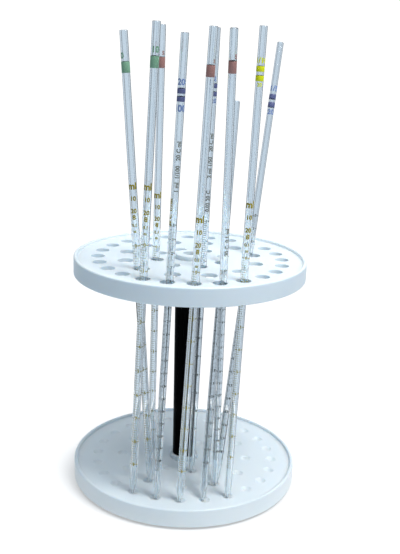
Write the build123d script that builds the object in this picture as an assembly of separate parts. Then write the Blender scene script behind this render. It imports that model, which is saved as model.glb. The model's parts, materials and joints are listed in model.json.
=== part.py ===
from build123d import *
import math
import os

# Rotating bench stand with ten graduated glass pipettes.
# Frame: origin on the table at the centre of the stand, +Z up, -Y is the front, millimetres.

overshoot = 1.0                # cutters run this far past the faces they cut
edge_tolerance = 0.01

# --- plates ---------------------------------------------------------------
plate_diameter = 190.0
plate_height = 15.0
lip_width = 3.0
rim_inner_radius = 90.5        # each plate's dish ends and its rim begins here
recess_depth = 2.4
web_thickness = 3.0
skirt_wall = 2.6
lip_rounding = 1.3
edge_rounding = 0.9
small_rounding = 0.8
skirt_gap = 2.0                # table to the lower skirt
plate_pitch = 179.0            # lower plate to upper plate

outer_ring = dict(radius=75.5, count=24, hole=11.5)
middle_ring = dict(radius=54.0, count=12, hole=13.0)
inner_ring = dict(radius=28.0, count=8, hole=10.6)
rings = dict(outer=outer_ring, middle=middle_ring, inner=inner_ring)
upper_start = dict(outer=2.0, middle=15.5, inner=17.0)      # degrees from the front to the first hole
lower_start = dict(outer=-2.3, middle=-2.3, inner=12.7)
seat_diameter = 9.0            # round dimples in the lower dish
seat_depth = 1.6

lower_lip_z = skirt_gap + plate_height
upper_lip_z = lower_lip_z + plate_pitch
lower_floor_z = lower_lip_z - recess_depth
upper_floor_z = upper_lip_z - recess_depth
lower_under_z = lower_floor_z - web_thickness
upper_under_z = upper_floor_z - web_thickness
seat_ball_radius = ((seat_diameter / 2) ** 2 + seat_depth ** 2) / (2 * seat_depth)
seat_ball_z = lower_floor_z - seat_depth + seat_ball_radius

# --- hub and column -------------------------------------------------------
boss_diameter = 24.5
boss_height = 3.9              # above each dish
boss_drop = 6.0                # below the upper web
recess_diameter = 12.0
recess_floor = 3.0
column_top_diameter = 24.0
column_foot_diameter = 20.0
column_bore = 10.0
spigot_diameter = 14.0
spigot_z = 6.6
column_top_z = upper_under_z - boss_drop

# --- turntable base and fasteners ----------------------------------------
base_diameter = 170.0
base_bottom_z = 1.6
base_top_z = 5.4
base_rounding = 0.6
pad_diameter = 14.0
pad_height = 2.4
pad_count = 6
pad_radius = 70.0
first_pad_angle = 30.0
thrust_washer_diameter = 30.0
thrust_washer_thickness = 1.1
pin_diameter = 6.0
pin_flange_diameter = 18.0
pin_flange_height = 1.6
pin_top_z = 44.0
pin_running_gap = 0.05
bush_length = 30.0
bush_step = 0.1                # the bush stops this far above the spigot's end
clip_diameter = 9.2
clip_thickness = 1.0
clip_opening = 3.0
clip_gap = 0.4
clip_groove_depth = 0.5
nut_across_flats = 26.0
nut_step = 0.2                 # the nut stops this far above the spigot's end
screw_diameter = 5.0
screw_head_diameter = 9.0
screw_head_height = 3.2
screw_length = 20.0
screw_clearance = 0.2          # all round the screw, in the plate and the washer
insert_length = 14.0
socket_across_flats = 4.0
socket_floor = 1.0
flat_washer_thickness = 1.0
flat_washer_overhang = 0.8     # all round the screw's head

# --- pipettes -------------------------------------------------------------
bore_ratio = 0.52
tip_diameter = 2.6
tip_bore = 1.2
tip_bore_length = 2.0
taper_length = 12.0
bore_taper_ratio = 1.1         # the bore's taper against the outside's
top_bevel = 0.8
tip_gap = 0.5                  # between the tip's edge and its dimple, so a leaning tip clears it
band_thickness = 0.12
wide_band = 8.0

# upper and lower name the ring and the hole's number; shift is how far the glass lies from that
# hole's centre, as it leans against the edge. Each band is (distance from the top, length).
pipettes = [
    dict(upper=("middle", 10), lower=("middle", 11), upper_shift=(-2.9, 0.0), lower_shift=(1.6, 0.0),
         length=358.5, diameter=6.2, bands=((22.5, wide_band),)),
    dict(upper=("outer", 22), lower=("outer", 22), upper_shift=(0.4, 0.0), lower_shift=(-0.6, 0.0),
         length=364.5, diameter=6.0, bands=((23.5, wide_band),)),
    dict(upper=("inner", 6), lower=("inner", 6), upper_shift=(-1.1, 0.0), lower_shift=(-1.5, 0.0),
         length=362.5, diameter=5.8, bands=((24.0, wide_band),)),
    dict(upper=("outer", 23), lower=("outer", 23), upper_shift=(1.5, 0.0), lower_shift=(0.7, 0.0),
         length=357.5, diameter=5.7, bands=((37.5, 3.4), (43.0, 3.4))),
    dict(upper=("outer", 0), lower=("outer", 0), upper_shift=(0.9, 0.0), lower_shift=(0.1, 0.0),
         length=362.5, diameter=6.1, bands=((26.0, wide_band),)),
    dict(upper=("inner", 0), lower=("inner", 0), upper_shift=(1.6, 0.0), lower_shift=(-0.2, 0.0),
         length=362.0, diameter=5.8, bands=((40.5, 3.2), (46.5, 3.2))),
    dict(upper=("outer", 1), lower=("middle", 1), upper_shift=(2.2, 0.5), lower_shift=(0.3, -1.8),
         length=363.5, diameter=5.6, bands=((21.5, wide_band),)),
    dict(upper=("inner", 1), lower=("outer", 1), upper_shift=(1.4, 0.0), lower_shift=(-1.1, 0.0),
         length=322.5, diameter=5.8, bands=()),
    dict(upper=("outer", 2), lower=("outer", 2), upper_shift=(0.1, 0.0), lower_shift=(0.1, 0.0),
         length=364.0, diameter=5.8, bands=((27.5, 3.8), (34.0, 3.8))),
    dict(upper=("middle", 3), lower=("middle", 1), upper_shift=(-2.9, 0.0), lower_shift=(1.4, 1.2),
         length=374.5, diameter=5.7, bands=((45.5, 4.2), (52.5, 4.2))),
]


def ring_point(ring, start, number):
    """Centre of one hole of a ring; angles run from the front towards +X."""
    step = 360.0 / rings[ring]["count"]
    angle = math.radians(start[ring] + step * number)
    radius = rings[ring]["radius"]
    return radius * math.sin(angle), -radius * math.cos(angle)


def disc(radius, bottom, top, x=0.0, y=0.0):
    return Pos(x, y, (bottom + top) / 2) * Cylinder(radius, top - bottom)


def tube(outer_radius, inner_radius, bottom, top):
    return disc(outer_radius, bottom, top) - disc(inner_radius, bottom, top)


def hex_prism(across_flats, bottom, top):
    section = RegularPolygon(across_flats / 2, 6, major_radius=False)
    return Pos(0, 0, bottom) * extrude(section, top - bottom)


def make_rim(lip_z):
    """Ring with a raised rounded lip above and a deep skirt below."""
    radius = plate_diameter / 2
    floor_z = lip_z - recess_depth
    under_z = floor_z - web_thickness
    bottom_z = lip_z - plate_height
    outline = Polyline(
        (rim_inner_radius, under_z), (radius - skirt_wall, under_z), (radius - skirt_wall, bottom_z),
        (radius, bottom_z), (radius, lip_z), (radius - lip_width, lip_z),
        (radius - lip_width, floor_z), (rim_inner_radius, floor_z), (rim_inner_radius, under_z))
    rim = revolve(Plane.XZ * make_face(outline), Axis.Z)
    rim = fillet([edge_at(rim, radius, lip_z), edge_at(rim, radius - lip_width, lip_z)], lip_rounding)
    return fillet([edge_at(rim, radius - lip_width, floor_z), edge_at(rim, radius, bottom_z)], edge_rounding)


def edge_at(body, radius, height):
    """The circular edge of the given radius at the given height."""
    found = [edge for edge in body.edges().filter_by(GeomType.CIRCLE)
             if abs(edge.radius - radius) < edge_tolerance
             and abs(edge.center().Z - height) < edge_tolerance]
    return found[0]


def ring_centres(start):
    """Every hole's ring and centre."""
    for name, ring in rings.items():
        for number in range(ring["count"]):
            yield ring, ring_point(name, start, number)


def make_lower_plate():
    """Dish with a round dimple for each tip and a hole for the column's spigot."""
    body = disc(rim_inner_radius, lower_under_z, lower_floor_z)
    body -= [Pos(x, y, seat_ball_z) * Sphere(seat_ball_radius) for ring, (x, y) in ring_centres(lower_start)]
    return body - disc(spigot_diameter / 2, lower_under_z - overshoot, lower_floor_z + overshoot)


def make_upper_plate():
    """Dish with a hole for each pipette and one for the hub."""
    low = upper_under_z - overshoot
    high = upper_floor_z + overshoot
    body = disc(rim_inner_radius, upper_under_z, upper_floor_z)
    body -= [disc(ring["hole"] / 2, low, high, x, y) for ring, (x, y) in ring_centres(upper_start)]
    return body - disc(boss_diameter / 2, low, high)


def rounded_boss(bottom, dish_z):
    boss = disc(boss_diameter / 2, bottom, dish_z + boss_height)
    return fillet(boss.edges().group_by(Axis.Z)[-1], small_rounding)


def make_upper_hub():
    """Boss through the dish, with a recess for the screw that holds it to the column."""
    recess_z = column_top_z + recess_floor
    hub = rounded_boss(column_top_z, upper_floor_z)
    hub -= disc(recess_diameter / 2, recess_z, upper_floor_z + boss_height + overshoot)
    return hub - disc(screw_diameter / 2 + screw_clearance, column_top_z - overshoot, recess_z + overshoot)


def make_lower_hub():
    """Collar on the dish round the column's foot."""
    return rounded_boss(lower_floor_z, lower_floor_z) - column_shaft()


def column_shaft():
    length = column_top_z - lower_floor_z
    return Pos(0, 0, lower_floor_z + length / 2) * Cone(
        column_foot_diameter / 2, column_top_diameter / 2, length)


def make_column():
    spigot = disc(spigot_diameter / 2, spigot_z, lower_floor_z)
    return column_shaft() + spigot - disc(column_bore / 2, spigot_z, column_top_z)


def make_column_nut():
    return hex_prism(nut_across_flats, spigot_z + nut_step, lower_under_z) - disc(
        spigot_diameter / 2, spigot_z, lower_under_z)


def make_pivot_bush():
    return tube(column_bore / 2, pin_diameter / 2 + pin_running_gap, spigot_z + bush_step,
                spigot_z + bush_length)


def make_top_insert():
    return tube(column_bore / 2, screw_diameter / 2, column_top_z - insert_length, column_top_z)


def make_top_washer():
    seat = column_top_z + recess_floor
    return tube(screw_head_diameter / 2 + flat_washer_overhang, screw_diameter / 2 + screw_clearance,
                seat, seat + flat_washer_thickness)


def make_top_screw():
    head_bottom = column_top_z + recess_floor + flat_washer_thickness
    head = disc(screw_head_diameter / 2, head_bottom, head_bottom + screw_head_height)
    head = fillet(head.edges().group_by(Axis.Z)[-1], small_rounding)
    socket = hex_prism(socket_across_flats, head_bottom + socket_floor,
                       head_bottom + screw_head_height + overshoot)
    return head + disc(screw_diameter / 2, head_bottom - screw_length, head_bottom) - socket


def pad_positions():
    for number in range(pad_count):
        angle = math.radians(first_pad_angle + 360 / pad_count * number)
        yield pad_radius * math.cos(angle), pad_radius * math.sin(angle)


def make_turntable_base():
    body = disc(base_diameter / 2, base_bottom_z, base_top_z)
    body = fillet(body.edges(), base_rounding)
    for x, y in pad_positions():
        body -= disc(pad_diameter / 2, base_bottom_z - overshoot, pad_height, x, y)
    body -= disc(pin_flange_diameter / 2, base_bottom_z - overshoot, base_bottom_z + pin_flange_height)
    return body - disc(pin_diameter / 2, base_bottom_z, base_top_z + overshoot)


def make_foot_pads():
    """A ring of pads let into the base, and one in the middle under the pin's flange."""
    pads = [disc(pad_diameter / 2, 0, pad_height, x, y) for x, y in pad_positions()]
    pads.append(disc(pad_diameter / 2, 0, base_bottom_z))
    return Compound(children=pads)


def clip_bottom():
    return spigot_z + bush_length + clip_gap


def make_pivot_pin():
    pin = disc(pin_flange_diameter / 2, base_bottom_z, base_bottom_z + pin_flange_height)
    pin += disc(pin_diameter / 2, base_bottom_z + pin_flange_height, pin_top_z)
    groove_radius = pin_diameter / 2 - clip_groove_depth
    return pin - tube(pin_diameter, groove_radius, clip_bottom(), clip_bottom() + clip_thickness)


def make_pin_clip():
    groove_radius = pin_diameter / 2 - clip_groove_depth
    ring = tube(clip_diameter / 2, groove_radius, clip_bottom(), clip_bottom() + clip_thickness)
    gap = Pos(clip_diameter / 2, 0, clip_bottom()) * Box(
        clip_diameter, clip_opening, 2 * clip_thickness + overshoot)
    return ring - gap


def make_thrust_washer():
    return tube(thrust_washer_diameter / 2, pin_diameter / 2, base_top_z,
                base_top_z + thrust_washer_thickness)


def pipette_plane(item):
    """Plane at the tip, which rests in its dimple, with its normal along the glass."""
    tip_x, tip_y = ring_point(item["lower"][0], lower_start, item["lower"][1])
    hole_x, hole_y = ring_point(item["upper"][0], upper_start, item["upper"][1])
    reach = math.hypot(*item["lower_shift"]) + tip_diameter / 2
    tip_z = seat_ball_z - math.sqrt(seat_ball_radius ** 2 - reach ** 2) + tip_gap
    tip = Vector(tip_x + item["lower_shift"][0], tip_y + item["lower_shift"][1], tip_z)
    hole = Vector(hole_x + item["upper_shift"][0], hole_y + item["upper_shift"][1],
                  upper_floor_z - web_thickness / 2)
    return Plane(origin=tip, z_dir=(hole - tip).normalized())


def make_glass(item):
    """Drawn tip, straight barrel with a bore, and a fire-polished top."""
    outer = item["diameter"] / 2
    bore = outer * bore_ratio
    length = item["length"]
    outline = Polyline(
        (tip_bore / 2, 0), (tip_diameter / 2, 0), (outer, taper_length), (outer, length - top_bevel),
        (outer - top_bevel, length), (bore, length), (bore, taper_length * bore_taper_ratio),
        (tip_bore / 2, tip_bore_length), (tip_bore / 2, 0))
    glass = revolve(Plane.XZ * make_face(outline), Axis.Z)
    return pipette_plane(item).location * glass


def make_bands(item):
    outer = item["diameter"] / 2
    top = item["length"]
    rings_of_enamel = [tube(outer + band_thickness, outer, top - start - size, top - start)
                       for start, size in item["bands"]]
    place = pipette_plane(item).location
    return Compound(children=[place * ring for ring in rings_of_enamel])


def main():
    os.makedirs("parts", exist_ok=True)
    nodes = dict(
        lower_plate=make_lower_plate(), lower_plate_rim=make_rim(lower_lip_z), lower_hub=make_lower_hub(),
        upper_plate=make_upper_plate(), upper_plate_rim=make_rim(upper_lip_z), upper_hub=make_upper_hub(),
        column=make_column(), column_nut=make_column_nut(), pivot_bush=make_pivot_bush(),
        top_insert=make_top_insert(), top_washer=make_top_washer(), top_screw=make_top_screw(),
        turntable_base=make_turntable_base(), foot_pads=make_foot_pads(), pivot_pin=make_pivot_pin(),
        pin_clip=make_pin_clip(), thrust_washer=make_thrust_washer())
    for number, item in enumerate(pipettes, start=1):
        nodes[f"pipette_{number}_glass"] = make_glass(item)
        if item["bands"]:
            nodes[f"pipette_{number}_bands"] = make_bands(item)
    for name, shape in nodes.items():
        export_step(shape, f"parts/{name}.step")


main()
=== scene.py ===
import bmesh
import bpy
import json
import math
from mathutils import Matrix, Vector


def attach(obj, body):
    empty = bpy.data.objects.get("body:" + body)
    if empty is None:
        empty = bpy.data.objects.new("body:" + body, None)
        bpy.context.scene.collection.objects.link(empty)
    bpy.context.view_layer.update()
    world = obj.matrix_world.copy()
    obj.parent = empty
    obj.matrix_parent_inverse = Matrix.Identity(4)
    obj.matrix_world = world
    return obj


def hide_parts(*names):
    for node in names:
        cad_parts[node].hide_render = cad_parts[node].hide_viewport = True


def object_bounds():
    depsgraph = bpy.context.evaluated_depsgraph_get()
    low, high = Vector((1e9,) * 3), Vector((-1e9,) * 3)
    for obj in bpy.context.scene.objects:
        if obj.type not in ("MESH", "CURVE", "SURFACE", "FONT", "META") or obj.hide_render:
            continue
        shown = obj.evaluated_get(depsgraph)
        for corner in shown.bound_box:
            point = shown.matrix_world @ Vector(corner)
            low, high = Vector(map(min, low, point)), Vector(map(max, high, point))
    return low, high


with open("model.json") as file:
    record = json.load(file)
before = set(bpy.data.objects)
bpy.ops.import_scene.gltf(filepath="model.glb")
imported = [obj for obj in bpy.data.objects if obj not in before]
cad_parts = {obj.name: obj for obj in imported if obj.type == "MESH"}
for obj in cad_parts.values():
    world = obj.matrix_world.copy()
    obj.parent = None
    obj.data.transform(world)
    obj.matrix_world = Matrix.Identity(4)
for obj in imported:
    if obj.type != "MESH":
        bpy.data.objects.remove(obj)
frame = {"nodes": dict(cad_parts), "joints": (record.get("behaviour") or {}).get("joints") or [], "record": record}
cad_low, cad_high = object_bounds()
nodes = frame["nodes"]
record = frame["record"]
MM = 0.001
scene = bpy.context.scene
TABLE_Z = cad_low[2]


# ---------------------------------------------------------------- materials
NOISE_LOW = 0.3                # nearly all of a noise lies between these
NOISE_HIGH = 0.7
METAL_SHADE = 0.85             # a metal's dark tone as a share of its light one
ROUGHNESS_SPREAD = 0.15


def new_material(name):
    """A node material, its tree and its Principled shader."""
    material = bpy.data.materials.new(name)
    material.use_nodes = True
    shader = material.node_tree.nodes["Principled BSDF"]
    return material, material.node_tree, shader


def add_node(tree, kind, **values):
    node = tree.nodes.new(kind)
    for key, value in values.items():
        if key in node.inputs:
            node.inputs[key].default_value = value
        else:
            setattr(node, key, value)
    return node


def object_noise(tree, scale, detail):
    coords = tree.nodes.new("ShaderNodeTexCoord")
    noise = add_node(tree, "ShaderNodeTexNoise", Scale=scale, Detail=detail)
    tree.links.new(coords.outputs["Object"], noise.inputs["Vector"])
    return noise


def vary(tree, noise, socket, low, high):
    """Drives a shader's number from a noise, between low and high."""
    span = tree.nodes.new("ShaderNodeMapRange")
    span.inputs["From Min"].default_value = NOISE_LOW
    span.inputs["From Max"].default_value = NOISE_HIGH
    span.inputs["To Min"].default_value = low
    span.inputs["To Max"].default_value = high
    tree.links.new(noise.outputs["Fac"], span.inputs["Value"])
    tree.links.new(span.outputs["Result"], socket)


def tint(tree, noise, socket, dark, light):
    """Drives a shader's colour from a noise, between two colours."""
    ramp = tree.nodes.new("ShaderNodeValToRGB")
    ramp.color_ramp.elements[0].position = NOISE_LOW
    ramp.color_ramp.elements[1].position = NOISE_HIGH
    ramp.color_ramp.elements[0].color = (*dark, 1)
    ramp.color_ramp.elements[1].color = (*light, 1)
    tree.links.new(noise.outputs["Fac"], ramp.inputs["Fac"])
    tree.links.new(ramp.outputs["Color"], socket)


def bump(tree, shader, noise, strength, distance):
    node = add_node(tree, "ShaderNodeBump", Strength=strength, Distance=distance)
    tree.links.new(noise.outputs["Fac"], node.inputs["Height"])
    tree.links.new(node.outputs["Normal"], shader.inputs["Normal"])


def white_plastic():
    """Moulded polypropylene: satin, faintly blue, with flow marks and a fine spark-eroded grain."""
    material, tree, shader = new_material("white_polypropylene")
    tint(tree, object_noise(tree, scale=14, detail=4), shader.inputs["Base Color"],
         dark=(0.69, 0.775, 0.83), light=(0.74, 0.82, 0.87))
    vary(tree, object_noise(tree, scale=60, detail=4), shader.inputs["Roughness"], low=0.30, high=0.42)
    bump(tree, shader, object_noise(tree, scale=2600, detail=2), strength=0.12, distance=0.00012)
    shader.inputs["IOR"].default_value = 1.49
    shader.inputs["Subsurface Weight"].default_value = 0.45
    shader.inputs["Subsurface Radius"].default_value = (0.004, 0.005, 0.006)
    shader.inputs["Subsurface Scale"].default_value = 0.6
    return material


def black_plastic():
    """Glossy black moulding, nearly without reflections, as in the photo."""
    material, tree, shader = new_material("black_gloss_plastic")
    tint(tree, object_noise(tree, scale=30, detail=4), shader.inputs["Base Color"],
         dark=(0.0003, 0.0003, 0.0004), light=(0.0006, 0.0006, 0.0008))
    vary(tree, object_noise(tree, scale=120, detail=5), shader.inputs["Roughness"], low=0.10, high=0.18)
    bump(tree, shader, object_noise(tree, scale=180, detail=2), strength=0.05, distance=0.0002)
    shader.inputs["Specular IOR Level"].default_value = 0.015
    return material


def clear_glass():
    """Drawn borosilicate tube: faint blue body colour and long draw lines."""
    material, tree, shader = new_material("clear_glass")
    shader.inputs["Base Color"].default_value = (0.91, 0.945, 0.965, 1)
    shader.inputs["Transmission Weight"].default_value = 1.0
    shader.inputs["IOR"].default_value = 1.47
    vary(tree, object_noise(tree, scale=80, detail=3), shader.inputs["Roughness"], low=0.0, high=0.003)
    coords = tree.nodes.new("ShaderNodeTexCoord")
    stretch = tree.nodes.new("ShaderNodeMapping")
    stretch.inputs["Scale"].default_value = (700, 700, 2)
    lines = add_node(tree, "ShaderNodeTexNoise", Scale=1.0, Detail=2.0)
    tree.links.new(coords.outputs["Object"], stretch.inputs["Vector"])
    tree.links.new(stretch.outputs["Vector"], lines.inputs["Vector"])
    bump(tree, shader, lines, strength=0.015, distance=0.00002)
    return material


def enamel(name, dark, light):
    """Fired colour: glossy, slightly uneven where the screen laid it down."""
    material, tree, shader = new_material(name)
    tint(tree, object_noise(tree, scale=900, detail=4), shader.inputs["Base Color"], dark, light)
    vary(tree, object_noise(tree, scale=500, detail=3), shader.inputs["Roughness"], low=0.25, high=0.45)
    bump(tree, shader, object_noise(tree, scale=3000, detail=2), strength=0.2, distance=0.00005)
    return material


def metal(name, colour, roughness):
    material, tree, shader = new_material(name)
    dark = tuple(c * METAL_SHADE for c in colour)
    tint(tree, object_noise(tree, scale=400, detail=4), shader.inputs["Base Color"], dark, light=colour)
    vary(tree, object_noise(tree, scale=900, detail=3), shader.inputs["Roughness"],
         low=roughness, high=roughness + ROUGHNESS_SPREAD)
    shader.inputs["Metallic"].default_value = 1.0
    bump(tree, shader, object_noise(tree, scale=2000, detail=3), strength=0.1, distance=0.00005)
    return material


def plain_plastic(name, dark, light, roughness):
    material, tree, shader = new_material(name)
    tint(tree, object_noise(tree, scale=50, detail=4), shader.inputs["Base Color"], dark, light)
    vary(tree, object_noise(tree, scale=200, detail=3), shader.inputs["Roughness"],
         low=roughness, high=roughness + ROUGHNESS_SPREAD)
    bump(tree, shader, object_noise(tree, scale=1500, detail=3), strength=0.2, distance=0.0001)
    return material


materials = {
    "white_plastic": white_plastic(),
    "black_plastic": black_plastic(),
    "clear_glass": clear_glass(),
    "enamel_green": enamel("enamel_green", (0.15, 0.31, 0.20), (0.20, 0.38, 0.26)),
    "enamel_red": enamel("enamel_red", (0.30, 0.155, 0.14), (0.37, 0.19, 0.17)),
    "enamel_blue": enamel("enamel_blue", (0.075, 0.09, 0.21), (0.11, 0.13, 0.27)),
    "enamel_yellow": enamel("enamel_yellow", (0.60, 0.66, 0.0), (0.70, 0.75, 0.01)),
    "zinc_steel": metal("zinc_steel", (0.62, 0.62, 0.6), roughness=0.3),
    "brass": metal("brass", (0.75, 0.58, 0.28), roughness=0.25),
    "bearing_plastic": plain_plastic("acetal", (0.8, 0.79, 0.74), (0.86, 0.85, 0.8), roughness=0.35),
    "rubber": plain_plastic("rubber", (0.02, 0.02, 0.02), (0.04, 0.04, 0.04), roughness=0.7),
}
ink_olive = enamel("ink_olive", (0.27, 0.22, 0.008), (0.38, 0.31, 0.015))
ink_blue = enamel("ink_blue", (0.14, 0.21, 0.42), (0.20, 0.28, 0.50))
ink_grey = enamel("ink_grey", (0.055, 0.06, 0.05), (0.10, 0.105, 0.09))
ink_pale = enamel("ink_pale", (0.15, 0.16, 0.14), (0.23, 0.24, 0.21))


def node_slot(name):
    return next(part["material_slot"] for part in record["subparts"] if part["node"] == name)


def finish_cad_nodes():
    for name, obj in nodes.items():
        obj.data.materials.clear()
        obj.data.materials.append(materials[node_slot(name)])


# ---------------------------------------------------------------- mesh helpers
SHARP_ANGLE = math.radians(35)


def link(mesh, name, material):
    obj = bpy.data.objects.new(name, mesh)
    scene.collection.objects.link(obj)
    mesh.materials.append(material)
    return obj


def lathe(name, profile, segments, material):
    """Turns a closed profile of (radius, height) points about Z."""
    mesh = bpy.data.meshes.new(name)
    bm = bmesh.new()
    rings = []
    for radius, height in profile:
        ring = []
        for k in range(segments):
            angle = 2 * math.pi * k / segments
            ring.append(bm.verts.new((radius * math.cos(angle), radius * math.sin(angle), height)))
        rings.append(ring)
    for low, high in zip(rings, rings[1:] + rings[:1]):
        for k in range(segments):
            j = (k + 1) % segments
            bm.faces.new((low[k], low[j], high[j], high[k]))
    bmesh.ops.recalc_face_normals(bm, faces=bm.faces)
    bm.to_mesh(mesh)
    bm.free()
    mesh.shade_smooth()
    mesh.set_sharp_from_angle(angle=SHARP_ANGLE)
    return link(mesh, name, material)


# ---------------------------------------------------------------- pipettes
BORE_RATIO = 0.52              # the bore against the outside of the glass
TIP_RADIUS = 1.3 * MM
TIP_BORE = 0.6 * MM
TIP_ROUNDING = 0.15 * MM
TIP_SLICE = 0.05 * MM          # points this close to the lowest one make the tip's end face
TAPER = 12 * MM                # length of the drawn tip
TAPER_STEPS = 12
TAPER_POWER = 0.9              # below 1 the taper is fuller near the tip
BORE_TAPER_START = 1.2 * MM
BORE_TAPER_RATIO = 1.05        # the bore's taper against the outside's
TOP_STEPS = 8                  # fire-polished top
GLASS_SEGMENTS = 64
INK = 0.05 * MM                # thickness of the print
BOLD = 0.045                   # letters are thickened by this share of their size
LETTER_RESOLUTION = 3
LETTER_RUN = 0.35              # letters and marks are cut into runs of this many mm, so that they bend
MARK_RUN = 0.3


def measure_pipette(number):
    """Tip, direction, length and radius of a pipette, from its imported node."""
    joint = next(j for j in frame["joints"] if j["name"] == f"lift_{number}")
    axis = Vector(joint["axis"]).normalized()
    points = [v.co.copy() for v in nodes[f"pipette_{number}_glass"].data.vertices]
    along = [p.dot(axis) for p in points]
    low, high = min(along), max(along)
    end = [p for p, a in zip(points, along) if a - low < TIP_SLICE]
    tip = sum(end, Vector()) / len(end)
    radius = max((p - tip - axis * (p - tip).dot(axis)).length for p in points)
    return tip, axis, high - low, radius


def pipette_matrix(tip, axis):
    """Local Z runs up the glass and local -Y faces the front."""
    y_axis = Vector((0, 1, 0))
    x_axis = y_axis.cross(axis).normalized()
    y_axis = axis.cross(x_axis)
    return Matrix.Translation(tip) @ Matrix((x_axis, y_axis, axis)).transposed().to_4x4()


def taper(narrow, wide, share):
    """Radius at a share of the way up the drawn tip."""
    return narrow + (wide - narrow) * math.sin(share * math.pi / 2) ** TAPER_POWER


def glass_profile(length, radius):
    """Closed section of the tube: up the outside, over the polished top and down the bore."""
    bore = radius * BORE_RATIO
    wall = (radius - bore) / 2
    points = [(TIP_BORE, TIP_ROUNDING), (TIP_BORE + TIP_ROUNDING, 0), (TIP_RADIUS - TIP_ROUNDING, 0)]
    for k in range(TAPER_STEPS + 1):
        share = k / TAPER_STEPS
        points.append((taper(TIP_RADIUS, radius, share), TIP_ROUNDING + share * TAPER))
    points.append((radius, length - wall))
    for k in range(1, TOP_STEPS):
        angle = math.pi * k / TOP_STEPS
        points.append((bore + wall + wall * math.cos(angle), length - wall + wall * math.sin(angle)))
    points.append((bore, length - wall))
    for k in range(TAPER_STEPS + 1):
        share = 1 - k / TAPER_STEPS
        points.append((taper(TIP_BORE, bore, share), BORE_TAPER_START + share * TAPER * BORE_TAPER_RATIO))
    return points


def wrap(bm, radius, turn, height):
    """Bends flat (x, y) work round a cylinder, starting at angle turn from the front."""
    for vert in bm.verts:
        angle = turn + vert.co.x / radius
        level = height + vert.co.y
        reach = radius + vert.co.z
        vert.co = Vector((reach * math.sin(angle), -reach * math.cos(angle), level))


def flat_strip(bm, x0, x1, y0, y1):
    """A thin closed strip, cut into short runs so that it bends smoothly."""
    runs = max(1, round((x1 - x0) / (MARK_RUN * MM)))
    columns = []
    for k in range(runs + 1):
        x = x0 + (x1 - x0) * k / runs
        columns.append([bm.verts.new((x, y, z)) for y, z in ((y0, 0), (y0, INK), (y1, INK), (y1, 0))])
    for a, b in zip(columns, columns[1:]):
        for k in range(len(a)):
            j = (k + 1) % len(a)
            bm.faces.new((a[k], b[k], b[j], a[j]))
    bm.faces.new(columns[0])
    bm.faces.new(list(reversed(columns[-1])))


def text_mesh(text, size, upright=True):
    """Flat letters with a little thickness, cut into narrow strips so that they can bend."""
    curve = bpy.data.curves.new("text", "FONT")
    curve.body = text
    curve.size = size
    curve.align_x = "CENTER"
    curve.align_y = "CENTER"
    curve.extrude = INK / 2
    curve.offset = BOLD * size
    curve.resolution_u = LETTER_RESOLUTION
    holder = bpy.data.objects.new("text", curve)
    scene.collection.objects.link(holder)
    bpy.context.view_layer.update()
    mesh = bpy.data.meshes.new_from_object(holder.evaluated_get(bpy.context.evaluated_depsgraph_get()))
    bpy.data.objects.remove(holder)
    bpy.data.curves.remove(curve)
    bm = bmesh.new()
    bm.from_mesh(mesh)
    bpy.data.meshes.remove(mesh)
    bmesh.ops.translate(bm, verts=bm.verts, vec=(0, 0, INK / 2))
    if not upright:
        bmesh.ops.rotate(bm, verts=bm.verts, matrix=Matrix.Rotation(math.pi / 2, 3, "Z"))
    low = min(v.co.x for v in bm.verts)
    high = max(v.co.x for v in bm.verts)
    cuts = int((high - low) / (LETTER_RUN * MM))
    for k in range(1, cuts + 1):
        geometry = bm.verts[:] + bm.edges[:] + bm.faces[:]
        cut = (low + k * LETTER_RUN * MM, 0, 0)
        bmesh.ops.bisect_plane(bm, geom=geometry, plane_co=cut, plane_no=(1, 0, 0))
    return bm


class Ink:
    """Collects wrapped marks of one pipette and turns them into one piece."""

    def __init__(self, radius):
        self.radius = radius
        self.bm = bmesh.new()

    def take(self, bm, turn, height):
        wrap(bm, self.radius, turn, height)
        mesh = bpy.data.meshes.new("part")
        bm.to_mesh(mesh)
        bm.free()
        self.bm.from_mesh(mesh)
        bpy.data.meshes.remove(mesh)

    def tick(self, turn, height, width, thickness):
        bm = bmesh.new()
        flat_strip(bm, -width / 2, width / 2, -thickness / 2, thickness / 2)
        self.take(bm, turn, height)

    def text(self, text, size, turn, height, upright=True):
        self.take(text_mesh(text, size, upright), turn, height)

    def piece(self, name, material):
        mesh = bpy.data.meshes.new(name)
        bmesh.ops.recalc_face_normals(self.bm, faces=self.bm.faces)
        self.bm.to_mesh(mesh)
        self.bm.free()
        return link(mesh, name, material)


# Facing is the angle of the scale from the front, in degrees. Head is the first row of print and
# start the zero line, both in mm from the top. Pitch is one main mark to the next, and digits the
# size of its number, both in mm.
scales = {
    1: dict(ink=ink_olive, facing=-5, head=114, start=160, pitch=20.0, digits=3.6),
    2: dict(ink=ink_olive, facing=-5, head=115, start=158, pitch=20.0, digits=3.6),
    3: dict(ink=ink_olive, facing=0, head=130, start=172, pitch=18.0, digits=3.0),
    4: dict(ink=ink_grey, facing=10, head=None, start=134, pitch=10.5, digits=2.6),
    5: dict(ink=ink_olive, facing=0, head=134, start=173, pitch=18.0, digits=3.2),
    6: dict(ink=ink_grey, facing=10, head=None, start=145, pitch=16.0, digits=2.6),
    7: dict(ink=ink_grey, facing=10, head=None, start=172, pitch=10.5, digits=2.4),
    8: dict(ink=ink_grey, facing=10, head=None, start=135, pitch=10.5, digits=2.4),
    9: dict(ink=ink_olive, facing=0, head=126, start=166, pitch=18.0, digits=3.0),
    10: dict(ink=ink_grey, facing=0, head=None, start=150, pitch=11.0, digits=2.8),
}
# Rows under the head: distance below it in mm, words, and size in mm.
head_rows = ((0.0, "ml", 7.0), (9.5, "10", 4.6), (19.0, "20", 4.6), (24.0, "8", 5.0),
             (30.0, "0.1", 3.4), (35.0, "=", 4.0))
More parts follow.
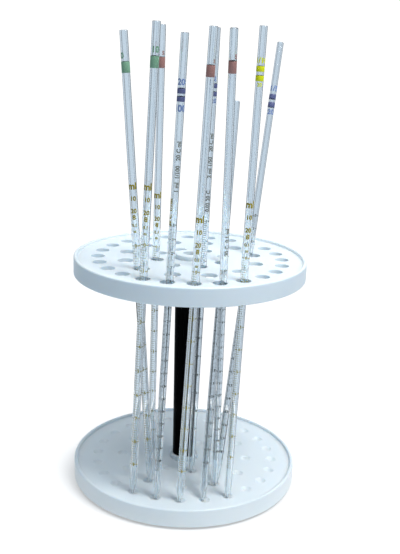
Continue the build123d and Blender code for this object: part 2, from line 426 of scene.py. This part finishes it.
# Print that runs up the glass: words, middle in mm from the top, facing in degrees, and ink.
prints = {
    4: (("1 ml  1/100   20 C ml", 92, 18, ink_pale), ("20 C  1/100", 125, -58, ink_olive)),
    6: (("20 C ml", 84, 18, ink_pale), ("2 ml 1/50", 103, 18, ink_pale), ("0.02 20 C", 129, 18, ink_pale)),
    7: (("20 C  0.1 ml", 150, 36, ink_pale),),
    8: (("20 C  0.1", 113, 18, ink_pale),),
}
PRINT_SIZE = 4.2 * MM
# Text above and below the coloured bands as words and size in mm, and its facing in degrees.
band_words = {
    1: dict(above=("10", 5.6), below=None, facing=-66),
    2: dict(above=("10", 5.8), below=None, facing=5),
    3: dict(above=("5", 4.0), below=None, facing=30),
    4: dict(above=("20", 5.8), below=("100", 6.4), facing=-8),
    5: dict(above=("5", 3.4), below=None, facing=45),
    6: dict(above=("2", 4.6), below=("20", 4.6), facing=15),
    7: dict(above=("5", 4.0), below=None, facing=45),
    9: dict(above=("1/10", 5.0), below=("20", 3.4), facing=0),
    10: dict(above=("1/5", 6.2), below=("20", 6.0), facing=0),
}
WORD_GAP = 0.75                # from a band's edge to the middle of the text, as a share of its size
SCALE_END = 26 * MM            # the scale stops this far above the tip
DIVISIONS = 10                 # marks to a number
# A main mark is an arc on each side of its number. Turns are in radians from the number to the middle of
# a mark, and widths are shares of half the way round the glass.
MAIN_TURN = 0.85
MAIN_WIDTH = 0.28
MAIN_THICKNESS = 0.6 * MM
MINOR_TURN = -0.5
MINOR_WIDTH = 0.42
MIDDLE_WIDTH = 0.6             # the mark halfway to the next number
MINOR_THICKNESS = 0.26 * MM
BAND_THICKNESS = 0.1 * MM
BAND_EDGE = 0.15 * MM          # an edge reaches the full thickness this far in
BAND_BEVEL = 0.05 * MM         # and is BAND_BEVEL_DROP below it this far in
BAND_BEVEL_DROP = 0.04 * MM
BAND_GAP = 1.5 * MM            # two bands of a pipette stand further apart than this,
BAND_LEAST = 1 * MM            # and each is wider than this


def add_scale(number, length, radius, place):
    """Numbered marks down the glass, and the rows of print above them."""
    spec = scales[number]
    ink = Ink(radius)
    facing = math.radians(spec["facing"])
    level = length - spec["start"] * MM
    count = 0
    minor = spec["pitch"] * MM / DIVISIONS
    half = math.pi * radius
    while level > SCALE_END:
        for side in (-1, 1):
            ink.tick(facing + side * MAIN_TURN, level, MAIN_WIDTH * half, MAIN_THICKNESS)
        ink.text(str(count), spec["digits"] * MM, facing, level)
        for step in range(1, DIVISIONS):
            mark = level - step * minor
            if mark < SCALE_END:
                break
            width = (MIDDLE_WIDTH if step == DIVISIONS // 2 else MINOR_WIDTH) * half
            ink.tick(facing + MINOR_TURN, mark, width, MINOR_THICKNESS)
        level -= spec["pitch"] * MM
        count += 1
    if spec["head"]:
        for below, words, size in head_rows:
            ink.text(words, size * MM, facing, length - (spec["head"] + below) * MM)
    obj = ink.piece(f"pipette_{number}_scale", spec["ink"])
    obj.matrix_world = place
    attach(obj, f"pipette_{number}")


def add_prints(number, length, radius, place):
    """Lines of print that run up the glass."""
    for k, (words, middle, turn, colour) in enumerate(prints.get(number, ())):
        ink = Ink(radius)
        ink.text(words, PRINT_SIZE, math.radians(turn), length - middle * MM, upright=False)
        obj = ink.piece(f"pipette_{number}_print_{k + 1}", colour)
        obj.matrix_world = place
        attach(obj, f"pipette_{number}")


def add_bands(number, tip, axis, radius, place):
    """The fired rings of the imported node, smooth, with the small numbers beside them."""
    node = f"pipette_{number}_bands"
    along = sorted((v.co - tip).dot(axis) for v in nodes[node].data.vertices)
    groups = [[along[0]]]
    for value in along[1:]:
        band = groups[-1]
        if value - band[-1] > BAND_GAP and band[-1] - band[0] > BAND_LEAST:
            groups.append([])
        groups[-1].append(value)
    spans = [(band[0], band[-1]) for band in groups]
    colour = materials[node_slot(node)]
    outer = radius + BAND_THICKNESS
    for k, (low, high) in enumerate(spans):
        profile = [(radius, low), (outer - BAND_BEVEL_DROP, low + BAND_BEVEL), (outer, low + BAND_EDGE),
                   (outer, high - BAND_EDGE), (outer - BAND_BEVEL_DROP, high - BAND_BEVEL), (radius, high)]
        ring = lathe(f"pipette_{number}_ring_{k + 1}", profile, GLASS_SEGMENTS, colour)
        ring.matrix_world = place
        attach(ring, f"pipette_{number}")
    words = band_words[number]
    facing = math.radians(words["facing"])
    ink = Ink(radius)
    text, size = words["above"]
    ink.text(text, size * MM, facing, spans[-1][1] + WORD_GAP * size * MM)
    if words["below"]:
        text, size = words["below"]
        ink.text(text, size * MM, facing, spans[0][0] - WORD_GAP * size * MM)
    blue = node_slot(node) == "enamel_blue"
    label = ink.piece(f"pipette_{number}_volume", ink_blue if blue else colour)
    label.matrix_world = place
    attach(label, f"pipette_{number}")
    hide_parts(node)


def add_pipette(number):
    tip, axis, length, radius = measure_pipette(number)
    place = pipette_matrix(tip, axis)
    profile = glass_profile(length, radius)
    glass = lathe(f"pipette_{number}_tube", profile, GLASS_SEGMENTS, materials["clear_glass"])
    glass.matrix_world = place
    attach(glass, f"pipette_{number}")
    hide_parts(f"pipette_{number}_glass")
    add_scale(number, length, radius, place)
    add_prints(number, length, radius, place)
    if f"pipette_{number}_bands" in nodes:
        add_bands(number, tip, axis, radius, place)


# ---------------------------------------------------------------- stage, light and camera
TABLE_RADIUS = 0.138
TABLE_SEGMENTS = 128
GLOW_START = 0.088             # the table's glow is painted light for a lit sweep; it rises between these distances from the middle, and the weaker glow nearer in is a painted shade under the set
GLOW_FULL = 0.118
# glow under the set, a painted shade, and glow further out
GLOW_IN_PAINTED_SHADE = 0.30
GLOW_HIGH = 0.70


def add_table():
    """A round pale table top whose glow is painted light for a lit studio sweep, with less glow under the set as a
    painted shade.
    """
    mesh = bpy.data.meshes.new("table_top")
    bm = bmesh.new()
    bmesh.ops.create_circle(bm, cap_ends=True, segments=TABLE_SEGMENTS, radius=TABLE_RADIUS)
    bm.to_mesh(mesh)
    bm.free()
    material, tree, shader = new_material("pale_table")
    tint(tree, object_noise(tree, scale=2, detail=2), shader.inputs["Base Color"],
         dark=(0.52, 0.52, 0.52), light=(0.55, 0.55, 0.55))
    shader.inputs["Roughness"].default_value = 0.9
    shader.inputs["Specular IOR Level"].default_value = 0.1
    shader.inputs["Emission Color"].default_value = (1, 1, 1, 1)
    coords = tree.nodes.new("ShaderNodeTexCoord")
    reach = add_node(tree, "ShaderNodeVectorMath", operation="LENGTH")
    # Painted shade: the glow is lower near the middle, a painted shadow of the set on the table.
    glow = add_node(tree, "ShaderNodeMapRange", interpolation_type="SMOOTHSTEP")
    glow.inputs["From Min"].default_value = GLOW_START
    glow.inputs["From Max"].default_value = GLOW_FULL
    glow.inputs["To Min"].default_value = GLOW_IN_PAINTED_SHADE
    glow.inputs["To Max"].default_value = GLOW_HIGH
    tree.links.new(coords.outputs["Object"], reach.inputs[0])
    tree.links.new(reach.outputs["Value"], glow.inputs["Value"])
    tree.links.new(glow.outputs["Result"], shader.inputs["Emission Strength"])
    table = link(mesh, "table_top", material)
    table.location = (0, 0, TABLE_Z)


ROOM_COLOUR = (0.80, 0.90, 1.0, 1)
ROOM_FRONT = 0.29              # the room's light in front of the set and at the backdrop
ROOM_BACK = 0.86
BACKDROP_WAY = Vector((0.17, 0.95, -0.22)).normalized()
BACKDROP_SPREAD = (0.45, 0.95)
FLOOR_WAY = Vector((-0.05, -0.28, -0.96)).normalized()
FLOOR_SPREAD = (0.15, 0.8)
FLOOR_LIGHT = 0.78
CAMERA_WHITE = 1.1             # what the camera itself sees behind the set


def world_lobe(tree, coords, way, spread, strength):
    """Strength of light round one direction, which fades out over the spread of its cosine."""
    cosine = add_node(tree, "ShaderNodeVectorMath", operation="DOT_PRODUCT")
    cosine.inputs[1].default_value = way
    fade = add_node(tree, "ShaderNodeMapRange", interpolation_type="SMOOTHSTEP")
    fade.inputs["From Min"].default_value, fade.inputs["From Max"].default_value = spread
    fade.inputs["To Min"].default_value, fade.inputs["To Max"].default_value = strength
    tree.links.new(coords.outputs["Generated"], cosine.inputs[0])
    tree.links.new(cosine.outputs["Value"], fade.inputs["Value"])
    return fade


def add_world():
    """White to the camera; the set sees a bright backdrop, a pale floor and a dim room in front."""
    world = bpy.data.worlds.new("studio")
    scene.world = world
    world.use_nodes = True
    tree = world.node_tree
    room = tree.nodes["Background"]
    room.inputs["Color"].default_value = ROOM_COLOUR
    coords = tree.nodes.new("ShaderNodeTexCoord")
    wall = world_lobe(tree, coords, BACKDROP_WAY, BACKDROP_SPREAD, (ROOM_FRONT, ROOM_BACK))
    floor = world_lobe(tree, coords, FLOOR_WAY, FLOOR_SPREAD, (0.0, FLOOR_LIGHT))
    both = add_node(tree, "ShaderNodeMath", operation="ADD")
    tree.links.new(wall.outputs["Result"], both.inputs[0])
    tree.links.new(floor.outputs["Result"], both.inputs[1])
    tree.links.new(both.outputs["Value"], room.inputs["Strength"])
    backdrop = add_node(tree, "ShaderNodeBackground", Strength=CAMERA_WHITE)
    backdrop.inputs["Color"].default_value = (1, 1, 1, 1)
    path = tree.nodes.new("ShaderNodeLightPath")
    mix = tree.nodes.new("ShaderNodeMixShader")
    tree.links.new(path.outputs["Is Camera Ray"], mix.inputs[0])
    tree.links.new(room.outputs[0], mix.inputs[1])
    tree.links.new(backdrop.outputs[0], mix.inputs[2])
    tree.links.new(mix.outputs[0], tree.nodes["World Output"].inputs["Surface"])


def add_area(name, position, target, size, power):
    light = bpy.data.lights.new(name, "AREA")
    light.shape = "RECTANGLE"
    light.size = size[0]
    light.size_y = size[1]
    light.energy = power
    obj = bpy.data.objects.new(name, light)
    scene.collection.objects.link(obj)
    obj.location = position
    obj.rotation_euler = (Vector(target) - Vector(position)).to_track_quat("-Z", "Y").to_euler()


def add_lights():
    middle = (0, 0, 0.15)
    add_area("key", position=(0.62, -0.46, 1.45), target=middle, size=(0.60, 0.60), power=18)
    add_area("overhead", position=(0, 0, 1.7), target=middle, size=(1.6, 1.6), power=16)


FOCAL = 37.0                   # lens and sensor height in mm
SENSOR = 24.0
PITCH = math.radians(15.73)
ROLL = math.radians(2.06)
YAW = math.radians(1.15)
CAMERA_PLACE = Vector((-0.0052, -0.6789, 0.3687))


def add_camera():
    """The photo's camera, with its pitch below the level and its small roll."""
    camera = bpy.data.cameras.new("camera")
    camera.sensor_fit = "VERTICAL"
    camera.sensor_height = SENSOR
    camera.lens = FOCAL
    camera.clip_start = 0.01
    camera.clip_end = 100
    obj = bpy.data.objects.new("camera", camera)
    scene.collection.objects.link(obj)
    level = Vector((math.sin(YAW), math.cos(YAW), 0))
    right = Vector((math.cos(YAW), -math.sin(YAW), 0))
    forward = level * math.cos(PITCH) - Vector((0, 0, 1)) * math.sin(PITCH)
    up = Vector((0, 0, 1)) * math.cos(PITCH) + level * math.sin(PITCH)
    rolled_right = right * math.cos(ROLL) + up * math.sin(ROLL)
    rolled_up = up * math.cos(ROLL) - right * math.sin(ROLL)
    turn = Matrix((rolled_right, rolled_up, -forward)).transposed().to_4x4()
    obj.matrix_world = Matrix.Translation(CAMERA_PLACE) @ turn
    scene.camera = obj


scene.view_settings.view_transform = "Standard"
add_camera()
add_table()
add_world()
add_lights()
finish_cad_nodes()
for number in scales:
    add_pipette(number)
